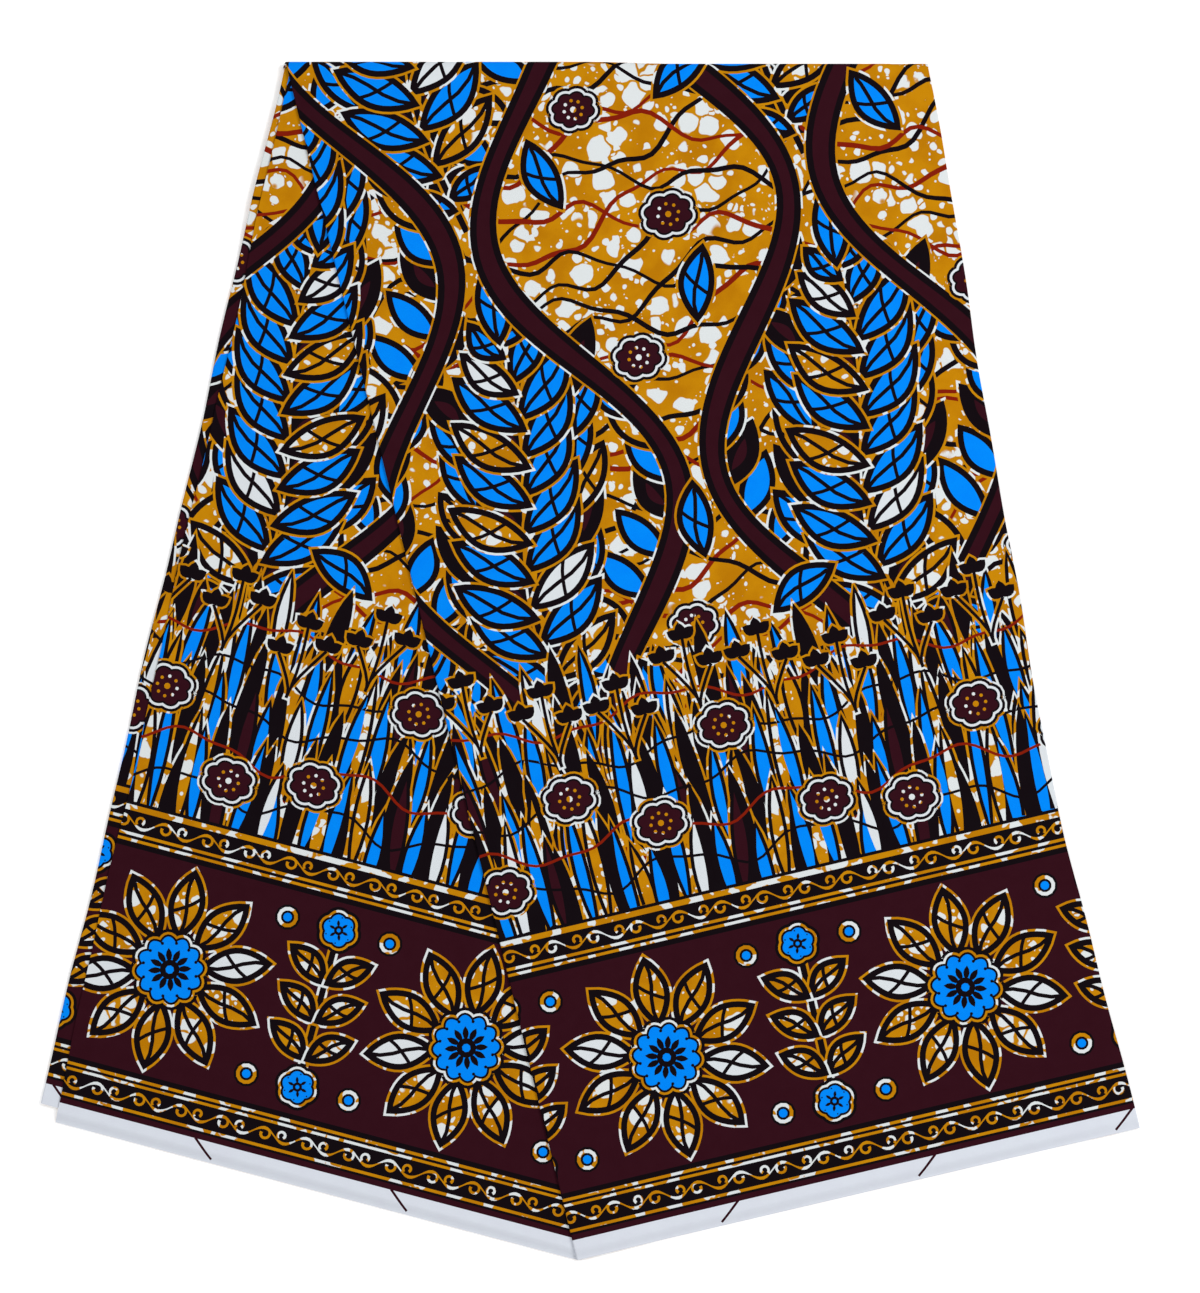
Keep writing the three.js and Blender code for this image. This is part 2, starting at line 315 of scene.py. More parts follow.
def blue_rosette(design, centre, radius, petals):
    """A scalloped blue flower in three rings."""
    outline = turned(disc(radius, petals * 8, petals, 0.16), petals, centre)
    design.rings(outline, (BLACK, 6.2), (LINE, 3.7), (BLACK, 1.8))
    design.add(BLUE, outline)
    stamen = leaf(radius * 0.44, radius * 0.19, count=4) + (radius * 0.22, 0)
    dot = disc(radius * 0.055, 5) + (radius * 0.82, 0)
    for k in range(petals):
        angle = (k + 0.5) * tau / petals + petals
        design.add(BLACK, turned(stamen, angle, centre))
        design.add(BLACK, turned(dot, angle + 0.3, centre))
    design.add(BLACK, disc(radius * 0.30, 12) + centre)
    design.add(BLUE, disc(radius * 0.13, 8) + centre)


BAND_REPEAT = 250.0  # from one medallion of the border to the next
MEDALLION = {"leaves": 10, "start": 28.0, "length": 53.0, "width": 25.0, "heart": 27.0}

CORNER_RINGS = ((BLACK, 10.5, 12), (LINE, 8.5, 12), (BLACK, 5.5, 12), (BLUE, 3.6, 10))
CORNERS = ((82, 66), (-82, 66), (82, -66), (-82, -66))


def medallion(design, centre):
    """A ring of plain leaves about a blue rosette."""
    count = MEDALLION["leaves"]
    for k in range(count):
        angle = pi / 2 + tau * k / count
        base = centre + MEDALLION["start"] * np.array([cos(angle), sin(angle)])
        fill = WHITE if k % 5 == 2 else GROUND
        printed_leaf(design, base, angle, MEDALLION["length"], MEDALLION["width"], fill, 0.0)
    blue_rosette(design, centre, MEDALLION["heart"], 12)


def upright_sprig(design, centre):
    """A straight stem with three pairs of leaves and a blue rosette at each end."""
    stem = centre + np.array([(0.0, y) for y in range(-56, 57, 8)])
    design.draw(LINE, stem, 9.0)
    design.draw(BLACK, stem, 5.0)
    for y in (-42, -10, 22):
        for way in (1, -1):
            printed_leaf(design, centre + (2 * way, y), pi / 2 - way * 0.95, 38, 18, GROUND, 2.0 * way)
    for y in (-66, 66):
        blue_rosette(design, centre + (0, y), 13.0, 6)


def medallion_band(design):
    """Medallions with an upright sprig between each two, and rings of dots in the corners."""
    middle = (MAIN_BAND[0] + MAIN_BAND[1]) / 2
    for k in range(floor(U_LOW / BAND_REPEAT), ceil(U_HIGH / BAND_REPEAT) + 1):
        centre = np.array([BAND_REPEAT * (k + 0.42), middle])
        medallion(design, centre)
        upright_sprig(design, centre + (BAND_REPEAT / 2, 0))
        for corner in CORNERS:
            place = centre + corner
            for ink, radius, count in CORNER_RINGS:
                design.add(ink, disc(radius, count) + place)


def border(design):
    band(design, BARE, -SELVEDGE - 20, 0)
    band(design, BLACK, 0, BORDER_TOP)
    band(design, MAROON, 0, 4.6)
    band(design, MAROON, MAIN_BAND[0] + 1.5, MAIN_BAND[1] - 1.5)
    medallion_band(design)
    band(design, BLACK, HEM_LINE[1] + 2, MAIN_BAND[0])
    band(design, BLACK, MAIN_BAND[1], BORDER_TOP)
    for low, high in (HEM_LINE, *LOWER_LINES, *UPPER_LINES, FIELD_LINE):
        band(design, LINE, low, high)
    running_scroll(design, LOWER_SCROLL)
    running_scroll(design, UPPER_SCROLL)
    for at in range(-30, 600, 165):  # plain strokes on the selvedge
        design.draw(MAROON, [(at, 0.5), (at - 17, -14)], 2.0)


def vein_net(design, rng):
    """Black and dark red veins that cross the ground both ways in long waves."""
    u = np.arange(U_LOW, U_HIGH, 7.0)
    for family, (tilt, spacing) in enumerate(((0.34, 37.0), (-0.30, 41.0))):
        for k in range(-8, 27):
            phase = rng.uniform(0, 6.28)
            wave = 10 * np.sin(tau * u / rng.uniform(110, 150) + phase)
            v = BORDER_TOP + k * spacing + tilt * u + wave
            v += 3.2 * np.sin(tau * u / 52 + phase * 3)
            keep = (v > BORDER_TOP - 10) & (v < V_TOP)
            if keep.sum() < 4:
                continue
            ink = RED if (2 * k + family) % 5 < 2 else BLACK
            swing = 3.4 + 0.8 * np.sin(u / 31 + phase)
            design.draw(ink, np.stack([u, v], 1)[keep], swing[keep])


OGEE = {"pitch": 141.0, "sway": 55.0, "repeat": 430.0, "start": 96.0, "base": 585.0, "width": 11.0}


def ogee_x(k, v):
    """Where the k-th wavy ribbon runs at a height."""
    swing = np.cos(tau * (v - OGEE["base"]) / OGEE["repeat"])
    return OGEE["start"] + (k + 0.5) * OGEE["pitch"] + (1 if k % 2 == 0 else -1) * OGEE["sway"] * swing


def ogee_ribbons(design):
    v = np.arange(BORDER_TOP + 40, V_TOP, 9.0)
    for ink, extra in ((LINE, 14.0), (BLACK, 11.0), (MAROON, 0.0)):
        for k in range(-3, 5):
            wide = OGEE["width"] + 2.4 * np.sin(v / 37 + 2 * k)
            design.draw(ink, np.stack([ogee_x(k, v), v], 1), wide + extra)


def printed_leaf(design, base, angle, length, width, fill, bend, ribs=True):
    """A leaf with a pale halo, a thick black outline, and black lines across its fill."""
    outline = turned(leaf(length, width, bend), angle, base)
    design.rings(outline, (LINE, 4.3), (BLACK, 2.4))
    if fill == BLACK:
        heart = leaf(length * 0.5, width * 0.36, bend) + (length * 0.25, 0)
        design.add(MAROON, turned(heart, angle, base))
        return
    design.add(fill, grown(outline, -2.5))
    if not ribs:
        return
    t = np.linspace(0, 1, 6)
    rib = np.stack([t * length, bend * np.sin(pi * t) + 0.08 * width * np.sin(tau * t)], 1)
    design.draw(BLACK, turned(rib, angle, base), 3.2)
    rise = bend + width * (-0.47 + 0.94 * t) + 3 * np.sin(pi * t)
    cross = np.stack([length * (0.34 + 0.34 * t), rise], 1)
    design.draw(BLACK, turned(cross, angle, base), 2.9)


FILLS = (BLUE, BLUE, GROUND, BLUE, BLUE, BLUE, WHITE, BLUE, BLUE, BLUE, BLUE, GROUND, BLUE)


def leafy_bay(design, centre, rng):
    """A bay between two ribbons, filled by a spray of leaf pairs and by leaves off the ribbons."""
    bay_half = lambda y: OGEE["pitch"] / 2 + OGEE["sway"] * cos(tau * y / OGEE["repeat"]) - 13
    sway = lambda y: 13 * np.sin(tau * y / OGEE["repeat"] * 1.2)
    y = np.arange(-180, 150, 12.0)
    shade = [2 * min(56.0, max(6.0, bay_half(h) - 18)) for h in y]
    design.add(BLACK, stroke(centre + np.stack([sway(y), y], 1), shade))
    for way in (1, -1):
        for step in range(11):
            y = -160 + 29 * step + (14 if way > 0 else 0)
            place = centre + (way * (bay_half(y) + 9), y)
            angle = pi / 2 + way * radians(34 + rng.uniform(-8, 8))
            fill = (BLACK, BLUE, GROUND, BLUE, BLUE)[(step + (way > 0)) % 5]
            length, width = rng.uniform(48, 60), rng.uniform(21, 25)
            printed_leaf(design, place, angle, length, width, fill, 2.0 * way, False)
        for step in range(8):
            y = -112 + 31 * step + (12 if way > 0 else 0)
            if bay_half(y) < 72:
                continue
            place = centre + (sway(y) + way * 42, y)
            angle = pi / 2 - way * radians(26 + rng.uniform(-12, 12))
            fill = (BLUE, BLUE, BLACK, GROUND)[step % 4]
            length, width = rng.uniform(52, 62), rng.uniform(22, 26)
            printed_leaf(design, place, angle, length, width, fill, 2.0 * way)
    pairs, leaves = 11, []
    for k in range(pairs):
        y = -172 + 30.5 * k
        for way in (1, -1):
            lean = radians(58 - 2.0 * k + rng.uniform(-6, 6))
            length = 66.0
            for _ in range(6):
                room = bay_half(y + length * cos(lean)) + 4
                length = 0.5 * length + 0.5 * min(69.0, max(34.0, room / sin(lean)))
            start = centre + (sway(y), y + 5 * way)
            leaves.append((start, pi / 2 - way * lean, length, 9 + 0.26 * length, way))
    top = -172 + 30.5 * (pairs - 1)
    leaves.append((centre + (sway(top), top + 8), pi / 2, 58.0, 25.0, 1))
    for start, angle, length, width, way in leaves[:-1]:
        printed_leaf(design, start, angle + way * radians(25), length * 0.72, width * 0.95, BLACK, 0.0)
    y = np.arange(-196, top + 12, 8.0)
    stem = centre + np.stack([sway(y), y], 1)
    design.draw(LINE, stem, 9.0)
    design.draw(BLACK, stem, 5.0)
    for k, (start, angle, length, width, way) in enumerate(leaves):
        printed_leaf(design, start, angle, length, width, FILLS[k % len(FILLS)], -way * rng.uniform(1, 4.5))


def open_bay(design, centre, rng):
    """A bay of veined ground with a few rosettes and single leaves."""
    for dx, dy, size in ((-30, 96, 15.0), (26, -4, 17.0), (-24, -112, 16.0)):
        maroon_rosette(design, centre + (dx, dy), size)
    for dx, dy, angle in ((38, 92, 0.5), (-58, 22, 2.0), (30, -92, 1.1), (-8, 150, 1.5)):
        place = centre + (dx, dy)
        printed_leaf(design, place, angle + rng.uniform(-0.3, 0.3), 58, 25, BLUE, 3.0)


REED_ROWS = (  # foot above the border, spacing, least and greatest height
    (128, 21.0, 60, 92),
    (82, 15.5, 66, 104),
    (34, 13.2, 72, 112),
    (-24, 11.4, 74, 124),
)
REED_FILLS = (BLUE, GROUND, BLUE, BLACK, BLUE, WHITE, BLACK, BLUE, MAROON, BLACK, BLUE, GROUND, BLACK)


def reed_fringe(design, rng):
    """Upright blades in overlapping rows above the border, the lowest in front."""
    drawn = 0
    for foot, pitch, least, most in REED_ROWS:
        blades = []
        for at in np.arange(U_LOW, U_HIGH, pitch):
            base = (at + rng.uniform(-2, 2), BORDER_TOP + foot + rng.uniform(-15, 15))
            blade = leaf(rng.uniform(least, most), rng.uniform(10.0, 13.5), rng.uniform(-2.0, 2.0), 8)
            blade = turned(blade, pi / 2 + rng.uniform(-0.11, 0.11), base)
            blades.append((blade, REED_FILLS[drawn % len(REED_FILLS)]))
            drawn += 1
        for blade, _ in blades:
            design.add(LINE, grown(blade, 3.2))
        for blade, _ in blades:
            design.add(BLACK, grown(blade, 1.4))
        for blade, fill in blades:
            if fill != BLACK:
                design.add(fill, grown(blade, -1.6))
    u = np.arange(U_LOW, U_HIGH, 7.0)
    for k, ink in enumerate((BLACK, RED, BLACK, BLACK, RED)):
        wave = 9 * np.sin(tau * u / (118 + 13 * k) + 2 * k)
        v = BORDER_TOP + 26 + 33 * k + wave + 3 * np.sin(u / 9 + k)
        design.draw(ink, np.stack([u, v], 1), 2.2)
    for k in range(-1, 11):
        sprig(design, np.array([k * 61.0 + 12, BORDER_TOP + 190 + 17 * cos(k * 1.9)]), 9.2)
    for k in range(-1, 10):
        place = (k * 68.0 + 8, BORDER_TOP + (36, 98, 62, 128, 50)[k % 5])
        maroon_rosette(design, place, 16.5)


def maroon_rosette(design, centre, radius, petals=8):
    """A scalloped maroon flower with a ring of dots about its middle."""
    outline = disc(radius, petals * 8, petals, 0.17) * (1.14, 0.92) + centre
    design.rings(outline, (LINE, 7.2), (BLACK, 5.6), (WHITE, 3.3), (BLACK, 1.3), (MAROON, -0.2))
    for k in range(petals):
        angle = tau * k / petals
        design.add(LINE, turned(disc(1.5, 6) + (radius * 0.5, 0), angle, centre))
    design.add(LINE, disc(2.6, 8) + centre)


def sprig(design, top, size):
    """Three black trefoils on one branching stalk."""
    foot = top - (-3, size * 6.5)
    tips = [top + shift for shift in ((0, 0), (-2.1 * size, -1.6 * size), (2.0 * size, -2.7 * size))]
    shapes = []
    for tip, bulge in zip(tips, (-2.0, 7.0, -6.0)):
        t = np.linspace(0, 1, 6)[:, None]
        sag = np.array([(bulge, -abs(bulge))]) * np.sin(pi * t)
        shapes.append(stroke(foot + (tip - foot) * t + sag, 2.6))
        shapes += [turned(leaf(size * 1.5, size, count=5), radians(a), tip) for a in (92, 36, 144)]
    for outline in shapes:
        design.add(LINE, grown(outline, 1.7))
    for outline in shapes:
        design.add(BLACK, outline)


def wax_print():
    rng = np.random.default_rng(SEED)
    design = Print()
    vein_net(design, rng)
    bays = []
    for k in range(-2, 5):
        for level in (-1, 0, 1):
            middle = OGEE["base"] + (level + 0.5 * (k % 2)) * OGEE["repeat"]
            if BORDER_TOP - 60 < middle < V_TOP + 190:
                bays.append((k, np.array([OGEE["start"] + k * OGEE["pitch"], middle])))
    for k, centre in bays:
        if k % 2 == 0 or k < 0:
            leafy_bay(design, centre, rng)
    ogee_ribbons(design)
    for k, centre in bays:
        if k % 2 and k > 0:
            open_bay(design, centre, rng)
    reed_fringe(design, rng)
    border(design)
    design.find_edges()
    return design


# ---- plan and heights ----
def hem_slope(x):
    return np.where(x < 0, -tan(LEFT_RISE), tan(RIGHT_RISE))


def hem_y(x, up=0.0):
    return x * hem_slope(x) + (up - SELVEDGE) * np.hypot(1, hem_slope(x))


def hem_distance(x, y):
    return (y - x * hem_slope(x)) / np.hypot(1, hem_slope(x)) + SELVEDGE


def waver(y):
    return sum(size * np.sin((y - start) / length * tau) for size, length, start in WANDER)


def left_edge(y):
    corner_x, corner_y = -LEFT_HEM * cos(LEFT_RISE), LEFT_HEM * sin(LEFT_RISE)
    return corner_x + (y - corner_y) * tan(LEFT_EDGE_LEAN) + waver(y)


def second_edge(y):
    return SECOND_EDGE["x"] + (y - SECOND_EDGE["y"]) * tan(SECOND_EDGE["lean"]) + waver(y + 90)


def pleat_edge(y):
    return -(y + SELVEDGE) * tan(PLEAT_LEAN)


def right_edge(y):
    edge, flare = RIGHT_EDGE, RIGHT_FLARE
    spread = np.maximum(0, (flare["from"] - y) / (flare["from"] - flare["to"])) ** 2
    return edge["top_x"] + (TOP_Y - y) * tan(edge["lean"]) + flare["width"] * spread - waver(y + 40)


def ground(x, y):
    """How far the stack is lifted by its swells and by the flap turned under it."""
    rise = FLAP["rise"] * smooth((y - (ROLL_Y - FLAP["length"])) / FLAP["ease"])
    for sx, sy, run, along, across, height in SWELLS:
        c, n = cos(radians(run)), sin(radians(run))
        u = ((x - sx) * c + (y - sy) * n) / along
        v = ((y - sy) * c - (x - sx) * n) / across
        rise = rise + height * np.exp(-(u * u + v * v))
    return rise


def creases(x, y, flat_y):
    """Small ridges and troughs of the front layer, which fade out at its hem and its top fold.
    Flat y is y as if the cloth ran straight on at the top fold."""
    rise = 0 * x
    for ax, ay, bx, by, height, half in CREASES:
        along = np.array([bx - ax, by - ay], float)
        length = np.hypot(*along)
        along /= length
        t = ((x - ax) * along[0] + (y - ay) * along[1]) / length
        across = (y - ay) * along[0] - (x - ax) * along[1]
        across = across + 2.2 * np.sin(t * 9 + ax) * half / 8
        ends = smooth(t / 0.18) * smooth((1 - t) / 0.18)
        rise = rise + height * ends * np.exp(-np.abs(across / half) ** 1.6)
    return rise * (smooth((hem_distance(x, y) + 2) / 14) * smooth((ROLL_Y + 4 - flat_y) / 20))


def hem_drop(x, y):
    corner = smooth((x - HEM_DROP["corner_from"]) / HEM_DROP["corner_width"])
    height = HEM_DROP["height"] + (HEM_DROP["corner"] - HEM_DROP["height"]) * corner
    return height * (1 - smooth(hem_distance(x, y) / HEM_DROP["width"]))


def pleat_lift(x):
    return LIFT * (1 - smooth((x - PLEAT_REST) / PLEAT_RUN_OUT))


def folded(inward, radius):
    """Cloth that runs on past a folded edge: how far inside the edge it comes to lie, and how
    far down it has gone. Inward is its distance inside the edge as if it lay flat."""
    turn = np.clip((radius - inward) / radius, 0, pi)
    under = np.maximum(radius - inward - pi * radius, 0)
    lies = np.where(inward >= radius, inward, radius * (1 - np.sin(turn)) + under)
    return lies, radius * (1 - np.cos(turn))


def rolled(x, y, height):
    """Cloth that runs on past the top fold turns about an axis halfway up the stack."""
    axis = (FRONT_TOP + ground(x, ROLL_Y + 0 * x) + pleat_lift(x)) / 2
    turn = np.clip((y - ROLL_Y) / axis, 0, pi)
    radius = height - axis
    y_roll = np.minimum(y, ROLL_Y) + radius * np.sin(turn)
    return np.stack([x, y_roll, np.where(turn > 0, axis + radius * np.cos(turn), height)], -1)


def lies_right(x, y):
    """The front right panel: pleat at the left, fold at the right, roll at the top."""
    lean_n = np.array([cos(PLEAT_LEAN), sin(PLEAT_LEAN)])
    inward = x * lean_n[0] + (y + SELVEDGE) * lean_n[1]
    lies, down = folded(inward, PLEAT_RADIUS)
    moved = lies - inward
    x1, y1 = x + moved * lean_n[0], y + moved * lean_n[1]
    inward = (right_edge(np.minimum(y, ROLL_Y)) - x1) * RIGHT_TILT
    lies, down_right = folded(inward, SIDE_RADIUS)
    x1 = x1 - (lies - inward) / RIGHT_TILT
    low_y = np.minimum(y1, ROLL_Y)
    height = FRONT_TOP + ground(x1, low_y) - hem_drop(x1, low_y) + pleat_lift(x1) - down - down_right
    return rolled(x1, y1, height + creases(x1, low_y, y))


def lies_left(x, y):
    """The front left panel: flat, and under the pleat at its right."""
    height = FRONT_TOP + ground(x, y) - hem_drop(x, y)
    clear = smooth((pleat_edge(y) - x) / 10)
    return np.stack([x, y, height + creases(x, y, y) * clear], -1)


def lies_second(x, y):
    """The second layer: it rounds over at its left-hand fold."""
    tilt = cos(SECOND_EDGE["lean"])
    inward = (x - second_edge(y)) * tilt
    lies, down = folded(inward, PLEAT_RADIUS)
    x1 = x + (lies - inward) / tilt
    return np.stack([x1, y, SECOND_TOP + ground(x1, y) - down], -1)


# ---- meshes ----
def plan_origin():
    """The apex of the hem in the row's frame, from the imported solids."""
    left_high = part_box("front_left_panel")[1]
    right_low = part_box("front_right_panel")[0]
    return left_high.x / MM - PLEAT_TUCK, right_low.y / MM - float(hem_y(0.0))


ORIGIN = plan_origin()


def triangulated(outline, paths, starts, ends, dots):
    """Triangles that fill an outline, cut along paths and edges and using dots: (points, faces)."""
    points, edges = [outline], [(i, (i + 1) % len(outline)) for i in range(len(outline))]
    count = len(outline)
    for path in paths:
        points.append(path)
        edges.extend((count + i, count + i + 1) for i in range(len(path) - 1))
        count += len(path)
    ends_of, places = np.unique(np.round(np.concatenate([starts, ends]), 3), axis=0, return_inverse=True)
    places = places.reshape(2, -1) + count
    points.append(ends_of)
    edges.extend((a, b) for a, b in places.T.tolist() if a != b)
    points.append(dots)
    found, _, faces, *_ = delaunay_2d_cdt(
        [Vector(p) for p in np.concatenate(points).tolist()], edges, [], 0, 0.01, False
    )
    found = np.array([tuple(p) for p in found])
    faces = np.array(faces)
    corners = found[faces]
    a, b = corners[:, 1] - corners[:, 0], corners[:, 2] - corners[:, 0]
    if (a[:, 0] * b[:, 1] - a[:, 1] * b[:, 0]).sum() < 0:
        faces = faces[:, ::-1]
    faces = faces[inside(outline, corners.mean(1))]
    used, faces = np.unique(faces, return_inverse=True)
    return found[used], faces.reshape(-1, 3)


def rim_of(faces):
    """The one loop of edges that belong to a single face, in face order."""
    edges = np.concatenate([faces[:, [0, 1]], faces[:, [1, 2]], faces[:, [2, 0]]])
    ends = {tuple(e) for e in edges.tolist()}
    after = {a: b for a, b in ends if (b, a) not in ends}
    loop = [next(iter(after))]
    while after[loop[-1]] != loop[0]:
        loop.append(after[loop[-1]])
    if len(loop) != len(after):
        raise ValueError("the sheet has more than one rim")
    return np.array(loop)


def grid_in(outline, spacing):
    low, high = outline.min(0), outline.max(0)
    xs = np.arange(low[0] + spacing / 2, high[0], spacing)
    ys = np.arange(low[1] + spacing / 2, high[1], spacing * 0.87)
    dots = np.array([(x + (i % 2) * spacing / 2, y) for i, y in enumerate(ys) for x in xs])
    return dots[inside(grown(outline, -spacing * 0.3), dots)]


def frame_at(lies, points):
    """Place and outward direction of each flat point on the laid cloth."""
    x, y = points.T
    step = 0.04
    place = lies(x, y)
    across = lies(x + step, y) - lies(x - step, y)
    along = lies(x, y + step) - lies(x, y - step)
    return place, unit(np.cross(across, along))


def sheet_shell(lies, to_cloth, outline, bends, design, spacing, back_spacing=BACK_GRID, thickness=SHEET):
    """A closed shell of printed cloth: (vertices, faces, corner normals, face inks, cloth points)."""
    low, high = outline.min(0) - 12, outline.max(0) + 12
    starts, ends = to_cloth(design.starts, True), to_cloth(design.ends, True)
    near = ((starts > low) & (starts < high)).all(1)
    flat, faces = triangulated(outline, bends, starts[near], ends[near], grid_in(outline, spacing))
    place, normal = frame_at(lies, flat)
    rim = rim_of(faces)
    dots = grid_in(outline, back_spacing)
    on_bends = [b[inside(grown(outline, -1.2), b)] for b in bends]
    none = np.zeros((0, 2))
    inner_dots = np.concatenate([dots, *on_bends])
    flat_back, faces_back = triangulated(flat[rim], [], none, none, inner_dots)
    place_back, normal_back = frame_at(lies, flat_back)
    inner = place_back - normal_back * thickness
    rim_back = match_rim(flat[rim], flat_back)
    count = len(place)
    vertices = np.concatenate([place, inner])
    faces_back = faces_back[:, ::-1] + count
    rim_next, back_next = np.roll(rim, -1), np.roll(rim_back, -1)
    rim_back, back_next = rim_back + count, back_next + count
    sides = np.stack([rim_next, rim, rim_back], 1), np.stack([rim_next, rim_back, back_next], 1)
    sides = np.concatenate(sides)
    inks = design.ink_at(to_cloth(flat[faces].mean(1)))
    edge_ink = {}
    for face, ink in zip(faces.tolist(), inks.tolist()):
        for a, b in zip(face, face[1:] + face[:1]):
            edge_ink[a, b] = ink
    side_inks = np.array([edge_ink[a, b] for a, b in zip(rim.tolist(), rim_next.tolist())] * 2)
    a, b, c = (vertices[sides[:, k]] for k in range(3))
    front_normals = normal[faces].reshape(-1, 3)
    back_normals = -normal_back[faces_back - count].reshape(-1, 3)
    side_normals = np.repeat(unit(np.cross(b - a, c - a)), 3, 0)
    normals = np.concatenate([front_normals, back_normals, side_normals])
    back_inks = np.full(len(faces_back), GROUND)
    all_inks = np.concatenate([inks, back_inks, side_inks])
    cloth = to_cloth(np.concatenate([flat, flat_back]))
    return vertices, np.concatenate([faces, faces_back, sides]), normals, all_inks, cloth


def match_rim(rim, points):
    """The index among points of each rim point."""
    return np.array([((points - p) ** 2).sum(1).argmin() for p in rim])


def mesh_object(name, shells, material):
    """One object from shells that share no vertices."""
    offset, parts = 0, []
    for vertices, faces, normals, inks, cloth in shells:
        parts.append((vertices, faces + offset, normals, inks, cloth[faces.ravel()]))
        offset += len(vertices)
    vertices, faces, normals, inks, corners = (np.concatenate(column) for column in zip(*parts))
    vertices = (vertices + (*ORIGIN, 0)) * MM
    mesh = bpy.data.meshes.new(name)
    mesh.from_pydata(vertices.tolist(), [], faces.tolist())
    mesh.polygons.foreach_set("use_smooth", np.ones(len(faces), bool))
    ink = mesh.attributes.new("ink", "FLOAT", "FACE")
    ink.data.foreach_set("value", inks.astype(np.float32))
    flat = mesh.uv_layers.new(name="Cloth")
    flat.uv.foreach_set("vector", (corners * MM).astype(np.float32).ravel())
    mesh.normals_split_custom_set(normals.astype(np.float32).tolist())
    mesh.materials.append(material)
    return placed(name, mesh)


# ---- the stretches of cloth ----
def to_cloth_by(angle, shift=(0.0, 0.0), mirrored_at=None):
    """A map between the plan and the flat cloth: turned, shifted, and mirrored where a layer
    comes back from the right-hand fold."""

    def mirrored(points):
        if mirrored_at is None:
            return points
        return np.stack([mirrored_at - points[:, 0], points[:, 1]], 1)

    def convert(points, to_plan=False):
        if to_plan:
            return turned(mirrored(points - shift), angle)
        return mirrored(turned(points, -angle)) + shift

    return convert


def bent_cloth(inset, turn):
    """The map for a layer under the front ones, whose hem is bent at the apex as theirs is."""
    left = to_cloth_by(-LEFT_RISE, (0.0, -inset), turn)
    right = to_cloth_by(RIGHT_RISE, (0.0, -inset))

    def convert(points, to_plan=False):
        if to_plan:
            return left(points, True)
        return np.where(points[:, :1] < 0, left(points), right(points))

    return convert


def edge_line(x_of, y_low, y_high, step=8.0):
    y = np.linspace(y_low, y_high, max(2, ceil((y_high - y_low) / step)) + 1)
    return np.stack([x_of(y), y], 1)


def hem_line(x_low, x_high, up, step=8.0):
    x = np.linspace(x_low, x_high, max(2, ceil((x_high - x_low) / step)) + 1)
    return np.stack([x, hem_y(x, up)], 1)


def meeting_y(x_of, up=0.0, guess=0.0):
    """Height at which an edge meets the line up above the hem."""
    y = guess
    for _ in range(12):
        y = float(hem_y(float(x_of(y)), up))
    return y


def closed(*sides):
    """One outline from sides that each end where the next begins."""
    return np.concatenate([side[:-1] for side in sides])


def turns(radius, count=8):
    """Distances inside a folded edge at which a mesh is cut so that the fold comes out round."""
    return [radius - radius * pi * k / count for k in range(count + 1)]


HEM_ROWS = (2.5, 5.0, 7.5, 10.0)


def right_row(x_low, x_high, up):
    """A line up above the right-hand hem, which runs straight on past the apex."""
    row = hem_line(x_low, x_high, up)
    row[:, 1] = row[:, 0] * tan(RIGHT_RISE) + (up - SELVEDGE) / cos(RIGHT_RISE)
    return row


def right_panel(design, material):
    """The top stretch: outline, lines that its folds are cut along, and shell."""
    reach_left, reach_right = 6.5, 8.0  # of its returns, past the folded edges
    lean = 1 / cos(PLEAT_LEAN)
    left = lambda inward: (lambda y: pleat_edge(y) + inward * lean)
    right = lambda inward: (lambda y: right_edge(np.minimum(y, ROLL_Y)) - inward / RIGHT_TILT)
    left_end, right_end = left(-reach_left), right(-reach_right)
    x_left, x_right = float(left_end(ROLL_Y)), float(right_end(ROLL_Y))
    top_x = np.linspace(x_right, x_left, 80)
    roll_axis = (FRONT_TOP + ground(top_x, ROLL_Y + 0 * top_x) + pleat_lift(top_x)) / 2
    across_roll = lambda turn: np.stack([top_x, ROLL_Y + roll_axis * turn], 1)
    low_left, low_right = meeting_y(left_end), meeting_y(right_end, guess=90.0)
    hem = right_row(float(left_end(low_left)), float(right_end(low_right)), 0.0)
    right_side = edge_line(right_end, hem[-1, 1], ROLL_Y)[:-1]
    left_side = edge_line(left_end, hem[0, 1], ROLL_Y)[::-1][:-1]
    shoulder = np.array([(x_right, ROLL_Y + 0.5)])
    outline = np.concatenate([hem[:-1], right_side, shoulder, across_roll(ROLL_TURN), left_side])
    bends = [edge_line(left(s), -SELVEDGE - 12.0, ROLL_Y + 20) for s in turns(PLEAT_RADIUS)]
    bends += [edge_line(right(s), 60.0, ROLL_Y + 20) for s in turns(SIDE_RADIUS)]
    bends += [across_roll(turn)[::-1] for turn in np.linspace(0, ROLL_TURN, 10)]
    bends += [right_row(-20.0, 490.0, up) for up in HEM_ROWS]
    shell = sheet_shell(lies_right, to_cloth_by(RIGHT_RISE), outline, bends, design, FRONT_GRID)
    return mesh_object("front_right_cloth", [shell], material)


# Where along the print the layers that come back from a fold reverse.
LEFT_TURN, SECOND_TURN, HIDDEN_TURN = -22.0, 20.0, 70.0


